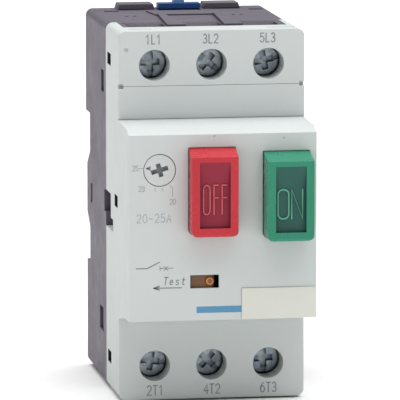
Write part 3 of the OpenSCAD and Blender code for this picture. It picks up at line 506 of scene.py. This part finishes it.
# Each glyph is a list of strokes in a cell 0.6 wide and 1 high.
GLYPHS = {
    "0": [arc(0.3, 0.5, 0.3, 0.5, 0, 360, 24)],
    "O": [arc(0.3, 0.84, 0.3, 0.16, 0, 180, 12) + arc(0.3, 0.16, 0.3, 0.16, 180, 360, 12)
          + [(0.6, 0.84)]],
    "-": [arc(0.18, 0.42, 0.13, 0.09, 180, 30, 5) + arc(0.42, 0.5, 0.13, 0.09, 200, 360, 5)],
    "A": [[(0.0, 0.0), (0.3, 1.0), (0.6, 0.0)], [(0.12, 0.34), (0.48, 0.34)]],
    "1": [[(0.08, 0.78), (0.32, 1.0), (0.32, 0.0)]],
    "2": [arc(0.3, 0.72, 0.29, 0.28, 165, -35, 12) + [(0.0, 0.0), (0.6, 0.0)]],
    "3": [arc(0.28, 0.76, 0.26, 0.24, 150, -90, 12), arc(0.28, 0.26, 0.31, 0.26, 90, -150, 12)],
    "4": [[(0.46, 0.0), (0.46, 1.0), (0.0, 0.3), (0.64, 0.3)]],
    "5": [[(0.55, 1.0), (0.08, 1.0), (0.04, 0.55)] + arc(0.28, 0.33, 0.31, 0.33, 120, -150, 12)],
    "6": [arc(0.56, 0.32, 0.54, 0.66, 98, 180, 8) + arc(0.31, 0.32, 0.29, 0.32, 180, 540, 20)],
    "L": [[(0.05, 1.0), (0.05, 0.0), (0.52, 0.0)]],
    "T": [[(0.0, 1.0), (0.6, 1.0)], [(0.3, 1.0), (0.3, 0.0)]],
    "F": [[(0.05, 0.0), (0.05, 1.0), (0.47, 1.0)], [(0.05, 0.57), (0.45, 0.57)]],
    "N": [[(0.0, 0.0), (0.0, 1.0), (0.6, 0.0), (0.6, 1.0)]],
    "e": [[(0.07, 0.34), (0.5, 0.34)] + arc(0.28, 0.32, 0.22, 0.3, 5, 320, 14)],
    "s": [arc(0.28, 0.47, 0.2, 0.15, 30, 230, 8) + arc(0.28, 0.16, 0.2, 0.16, 70, -150, 8)],
    "t": [[(0.22, 0.9), (0.22, 0.12), (0.32, 0.0), (0.46, 0.02)], [(0.05, 0.62), (0.44, 0.62)]],
}


def stroke(bm, pts, half, y_base, y_top, half_top=None):
    """A ridge along the points, given in (X, Z) mm, with round ends and sloping flanks."""
    half_top = half if half_top is None else half_top
    clean = [Vector(pts[0])]
    for p in pts[1:]:
        if (Vector(p) - clean[-1]).length > 1e-4:
            clean.append(Vector(p))
    closed = (clean[0] - clean[-1]).length < 1e-3 and len(clean) > 3
    if closed:
        clean.pop()
    n = len(clean)

    def normal(i):
        before = clean[i] - clean[i - 1] if closed or i > 0 else None
        after = clean[(i + 1) % n] - clean[i] if closed or i < n - 1 else None
        dirs = [d.normalized() for d in (before, after) if d is not None]
        normals = [Vector((-d.y, d.x)) for d in dirs]
        if len(normals) == 1:
            return normals[0]
        total = normals[0] + normals[1]
        if total.length < 0.3:
            return normals[1]
        total.normalize()
        return total / max(0.55, total.dot(normals[0]))

    def put(p, y):
        return bm.verts.new((p.x * MM, y * MM, p.y * MM))

    rings = []
    for i, p in enumerate(clean):
        k = normal(i)
        rings.append([put(p + k * half, y_base), put(p + k * half_top, y_top),
                      put(p - k * half_top, y_top), put(p - k * half, y_base)])
    for i in range(n if closed else n - 1):
        a, b = rings[i], rings[(i + 1) % n]
        for j in range(4):
            bm.faces.new((a[j], a[(j + 1) % 4], b[(j + 1) % 4], b[j]))
    if closed:
        return
    for ring, p, q in ((rings[0], clean[0], clean[1]), (rings[-1], clean[-1], clean[-2])):
        out = (p - q).normalized()
        side = Vector((-out.y, out.x))
        flip = 1 if (Vector((ring[0].co.x, ring[0].co.z)) / MM - p).dot(side) > 0 else -1
        low, high = [ring[0]], [ring[1]]
        for step in (1, 2):
            a = math.radians(60 * step)
            d = side * math.cos(a) * flip + out * math.sin(a)
            low.append(put(p + d * half, y_base))
            high.append(put(p + d * half_top, y_top))
        low.append(ring[3])
        high.append(ring[2])
        for j in range(3):
            bm.faces.new((low[j], low[j + 1], high[j + 1], high[j]))
        bm.faces.new(low)
        bm.faces.new(high)


def write(bm, text, x, z, height, half, y_base, y_top, half_top=None, pitch=0.82, width=1.0,
          slant=0.0):
    """Draws text with its lower left corner at x, z; returns where it ends."""
    for ch in text:
        for line in GLYPHS[ch]:
            pts = [(x + (px * width + slant * pz) * height, z + pz * height) for px, pz in line]
            stroke(bm, pts, half, y_base, y_top, half_top)
        x += pitch * width * height
    return x


def mark(name, draw, material, body):
    bm = bmesh.new()
    draw(bm)
    bmesh.ops.recalc_face_normals(bm, faces=bm.faces)
    mesh = bpy.data.meshes.new(name)
    bm.to_mesh(mesh)
    bm.free()
    return new_object(name, mesh, material, body)


def box(bm, lo, hi):
    """A closed box between two corners in mm."""
    for v in bmesh.ops.create_cube(bm, size=1.0)["verts"]:
        v.co = Vector([(a + b) / 2 + c * (b - a) for a, b, c in zip(lo, hi, v.co)]) * MM


Y_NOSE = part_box("front_cover")[0].y / MM
Y_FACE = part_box("accessory_slot_cover")[0].y / MM
INK = 0.015                 # how far a print stands out of its surface
INK_IN = 0.004              # how far it reaches in
ON_NOSE = (Y_NOSE + INK_IN, Y_NOSE - INK)
ON_FACE = (Y_FACE + INK_IN, Y_FACE - INK)
FINE, THIN, BOLD = 0.09, 0.1, 0.13      # half widths of the printed lines


def middle_x(node):
    lo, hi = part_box(node)
    return lo.x / 2 / MM + hi.x / 2 / MM


POLE_X = [middle_x("line_screw_%d" % pole) for pole in (1, 2, 3)]


def on_nose(bm, pts, half):
    stroke(bm, pts, half, *ON_NOSE)


def terminal_codes(bm):
    shape = dict(pitch=0.86, width=0.72)
    for x, up, down in zip(POLE_X, ("1L1", "3L2", "5L3"), ("2T1", "4T2", "6T3")):
        write(bm, up, x - 2.05, 41.45, 2.15, BOLD, *ON_FACE, **shape)
        write(bm, down, x - 1.85, -43.4, 2.3, BOLD, *ON_FACE, **shape)


def dial_scale(bm):
    """The current range, the dial's numbers and its scale lines."""
    small = dict(pitch=0.8, width=0.8)
    write(bm, "20-25A", -20.55, 0.95, 2.0, THIN, *ON_NOSE, pitch=0.92, width=0.78)
    write(bm, "25", -21.6, 13.35, 1.2, THIN, *ON_NOSE, **small)
    write(bm, "23", -20.05, 8.4, 1.2, THIN, *ON_NOSE, **small)
    write(bm, "20", -12.7, 5.2, 1.25, THIN, *ON_NOSE, **small)
    on_nose(bm, [(-20.05, 13.88), (-18.95, 13.86)], FINE)
    on_nose(bm, [(-12.6, 9.7), (-12.06, 9.0), (-12.01, 7.0)], FINE)
    on_nose(bm, [(-16.27, 9.15), (-16.17, 8.45)], FINE)
    on_nose(bm, [(-14.5, 9.1), (-14.25, 8.35)], FINE)


def test_marks(bm):
    """The slider's word with its arrow, and the switch symbol."""
    write(bm, "Test", -14.3, -14.05, 1.85, 0.11, *ON_NOSE, pitch=0.95, width=0.82, slant=0.18)
    tip = (-16.6, -14.74)
    on_nose(bm, [(-9.9, -14.78), (-15.0, -14.74)], BOLD)
    for z in (-14.2, -14.45, -14.74, -15.03, -15.28):
        on_nose(bm, [(-15.2, z), tip], THIN)
    # The lead with the opened blade, the contact, the crossed release box and the lead out.
    on_nose(bm, [(-20.75, -10.0), (-18.1, -10.0), (-15.2, -8.55)], BOLD)
    on_nose(bm, [(-15.05, -9.55), (-15.05, -10.5)], FINE)
    on_nose(bm, [(-15.0, -10.03), (-14.2, -10.03)], FINE)
    on_nose(bm, [(-14.1, -9.6), (-13.15, -10.5)], THIN)
    on_nose(bm, [(-14.1, -10.5), (-13.15, -9.6)], THIN)
    on_nose(bm, [(-13.1, -10.03), (-11.9, -10.03)], FINE)


def stripe(bm):
    """The plain stripe that runs from the fascia's middle to the marker plate."""
    marker_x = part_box("marker_plate")[0].x / MM
    box(bm, (-6.3, Y_NOSE - INK, -20.95), (marker_x, Y_NOSE + INK_IN, -19.4))


def entry_grooves(bm):
    """A painted shadow line on the case behind each wire entry."""
    half, y_front, y_back = 4.9, -29.3, -28.6
    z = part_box("front_cover")[1].z / MM - 0.2
    for end in (1, -1):
        for x in POLE_X:
            box(bm, (x - half, y_front, end * z - INK), (x + half, y_back, end * z + INK))


def liner(x0, x1, z0, z1):
    """Narrows the window around a cap, whose lower corners are round."""
    gap, wide = 0.15, 0.35              # cap to liner, and cap to the window's wall
    corner_r, turns = 1.4, 8
    y0, y1 = Y_NOSE + 0.01, Y_NOSE + 1.3

    def draw(bm):
        inner = [(x0 - gap, z1 + gap), (x1 + gap, z1 + gap)]
        outer = [(x0 - wide, z1 + wide), (x1 + wide, z1 + wide)]
        for side, edge, start in ((1, x1, 0), (-1, x0, -90)):
            cx, cz = edge - side * corner_r, z0 + corner_r
            for i in range(turns + 1):
                a = math.radians(start - 90 * i / turns)
                px = cx + (corner_r + gap) * math.cos(a)
                pz = cz + (corner_r + gap) * math.sin(a)
                inner.append((px, pz))
                along = i < turns / 2 if side > 0 else i > turns / 2
                across = i > turns / 2 if side > 0 else i < turns / 2
                outer.append((px if across else edge + side * wide, pz if along else z0 - wide))
        loops = [[bm.verts.new((px * MM, y * MM, pz * MM)) for px, pz in pts]
                 for pts, y in ((inner, y0), (outer, y0), (outer, y1), (inner, y1))]
        for a, b in zip(loops, loops[1:] + loops[:1]):
            for i in range(len(a)):
                j = (i + 1) % len(a)
                bm.faces.new((a[i], a[j], b[j], b[i]))
    return draw


def dial_arrow(bm):
    tip = (-18.3, 13.85)
    for z in (13.4, 13.6, 13.85, 14.1, 14.3):
        stroke(bm, [(-17.3, z), tip], FINE, DIAL_LO.y + INK_IN, DIAL_LO.y - INK)


def raised(front):
    """Foot and top of the raised letters on a button whose front is at Y front."""
    return front + 1.15, front + 0.75


LETTER_HEIGHT, LETTER_HALF, LETTER_HALF_TOP = 6.95, 0.2, 0.12


def off_letters(bm):
    x, z = OFF_CAP[0] + 2.85, OFF_CAP[2] + 5.35
    sizes = (z, LETTER_HEIGHT, LETTER_HALF, *raised(OFF_Y), LETTER_HALF_TOP)
    write(bm, "O", x, *sizes, pitch=0.75, width=0.373)
    write(bm, "FF", x + 2.37, *sizes, pitch=0.752, width=0.373)


def on_letters(bm):
    x, z = ON_CAP[0] + 2.5, ON_CAP[2] + 5.3
    write(bm, "ON", x, z, LETTER_HEIGHT, LETTER_HALF, *raised(ON_Y), LETTER_HALF_TOP,
          pitch=0.762, width=0.623)


mark("print_terminal_codes", terminal_codes, INK_GREY, "housing")
mark("print_dial_scale", dial_scale, INK_PALE, "housing")
mark("print_test_marks", test_marks, INK_GREY, "housing")
mark("off_window_liner", liner(*OFF_CAP), MATS["cover_plastic"], "housing")
mark("on_window_liner", liner(*ON_CAP), MATS["cover_plastic"], "housing")
mark("entry_grooves", entry_grooves, CASE_PAINTED_SHADE, "housing")
mark("dial_arrow", dial_arrow, INK_GREY, "current_dial")
mark("print_stripe", stripe, INK_BLUE, "housing")
# The raised letters take a painted highlight.
mark("off_raised_letters", off_letters, RED_LETTER_PAINTED_HIGHLIGHT, "off_button")
mark("on_raised_letters", on_letters, GREEN_LETTER_PAINTED_HIGHLIGHT, "on_button")


def turned(name, profile, x, z, material, body, steps=40):
    """A lathe-turned piece on an axis along Y; profile is a list of (radius, Y) in mm."""
    bm = bmesh.new()
    rings = []
    for r, y in profile:
        if r < 1e-6:
            rings.append([bm.verts.new((x * MM, y * MM, z * MM))])
            continue
        rings.append([bm.verts.new(((x + r * math.cos(2 * math.pi * i / steps)) * MM, y * MM,
                                    (z + r * math.sin(2 * math.pi * i / steps)) * MM))
                      for i in range(steps)])
    for a, b in zip(rings, rings[1:]):
        for i in range(steps):
            j = (i + 1) % steps
            if len(a) == 1:
                bm.faces.new((a[0], b[i], b[j]))
            elif len(b) == 1:
                bm.faces.new((a[i], a[j], b[0]))
            else:
                bm.faces.new((a[i], a[j], b[j], b[i]))
    bmesh.ops.recalc_face_normals(bm, faces=bm.faces)
    for f in bm.faces:
        f.smooth = True
    mesh = bpy.data.meshes.new(name)
    bm.to_mesh(mesh)
    bm.free()
    o = new_object(name, mesh, material, body)
    flat = o.modifiers.new("flat_faces", "WEIGHTED_NORMAL")
    flat.weight = 70
    return o


SLIDER_Y = Y_NOSE + 1.1
DOT_X, DOT_Z = -3.05, -13.45
# Radius and how far each ring stands in front of the slider's plate, from the foot inwards.
DOT_RINGS = ((0, -0.2), (0.9, -0.2), (0.9, 0.55), (0.8, 0.68), (0.66, 0.72), (0.55, 0.66),
             (0.48, 0.5), (0.2, 0.48), (0, 0.52))
turned("slider_dot", [(r, SLIDER_Y - ahead) for r, ahead in DOT_RINGS],
       DOT_X, DOT_Z, DOT_ORANGE, "test_slider")


# ---------------------------------------------------------------- floor, light, camera
FLOOR_HALF = 4.0


def floor():
    """A large square of pale paper under the object."""
    z = CAD_LO.z
    bm = bmesh.new()
    corners = ((-1, -1), (1, -1), (1, 1), (-1, 1))
    bm.faces.new([bm.verts.new((x * FLOOR_HALF, y * FLOOR_HALF, z)) for x, y in corners])
    mesh = bpy.data.meshes.new("floor")
    bm.to_mesh(mesh)
    bm.free()
    o = bpy.data.objects.new("floor", mesh)
    bpy.context.scene.collection.objects.link(o)
    m = Material("floor_paper")
    base = m.mix(m.noise(400.0, 2.0), srgb(243, 243, 243), srgb(250, 250, 249))
    m.finish(base, m.remap(m.noise(60.0), 0.0, 1.0, 0.75, 0.9), None, 0.0, Specular_IOR_Level=0.1)
    mesh.materials.append(m.mat)


def sun(name, energy, to_light, angle):
    """A sun lamp that shines from the direction to_light."""
    data = bpy.data.lights.new(name, "SUN")
    data.energy = energy
    data.angle = angle
    o = bpy.data.objects.new(name, data)
    bpy.context.scene.collection.objects.link(o)
    v = Vector(to_light).normalized()
    o.location = v * 2.0
    o.rotation_mode = "QUATERNION"
    o.rotation_quaternion = v.to_track_quat("Z", "Y")


def studio():
    """White surroundings that dim towards and below the horizon."""
    world = bpy.data.worlds.new("studio")
    bpy.context.scene.world = world
    world.use_nodes = True
    sky = world.node_tree
    heading = sky.nodes.new("ShaderNodeTexCoord")
    height = sky.nodes.new("ShaderNodeSeparateXYZ")
    sky.links.new(heading.outputs["Generated"], height.inputs["Vector"])
    ramp = sky.nodes.new("ShaderNodeMapRange")
    for key, v in (("From Min", -0.1), ("From Max", 1.0), ("To Min", 0.06), ("To Max", 1.0)):
        ramp.inputs[key].default_value = v
    sky.links.new(height.outputs["Z"], ramp.inputs["Value"])
    sky.nodes["Background"].inputs["Color"].default_value = (1.0, 1.0, 1.0, 1.0)
    sky.links.new(ramp.outputs["Result"], sky.nodes["Background"].inputs["Strength"])
    bpy.context.scene.view_settings.view_transform = "Standard"


def camera(azimuth, elevation, distance, target_mm, lens):
    """A camera that looks at target_mm from the given angles in degrees and distance in m."""
    data = bpy.data.cameras.new("camera")
    data.sensor_width = 36.0
    data.lens = lens
    data.clip_start, data.clip_end = 0.05, 20.0
    o = bpy.data.objects.new("camera", data)
    bpy.context.scene.collection.objects.link(o)
    az, el = math.radians(azimuth), math.radians(elevation)
    back = Vector((math.sin(az) * math.cos(el), -math.cos(az) * math.cos(el), math.sin(el)))
    o.location = Vector(target_mm) * MM + back * distance
    o.rotation_mode = "QUATERNION"
    o.rotation_quaternion = back.to_track_quat("Z", "Y")
    bpy.context.scene.camera = o


floor()
sun("key", 2.5, (0.04, -0.07, 1.0), angle=1.2)
studio()
camera(-9.2, 8.18, 1.2357, (-2.81, -49.0, 3.69), 464.6)
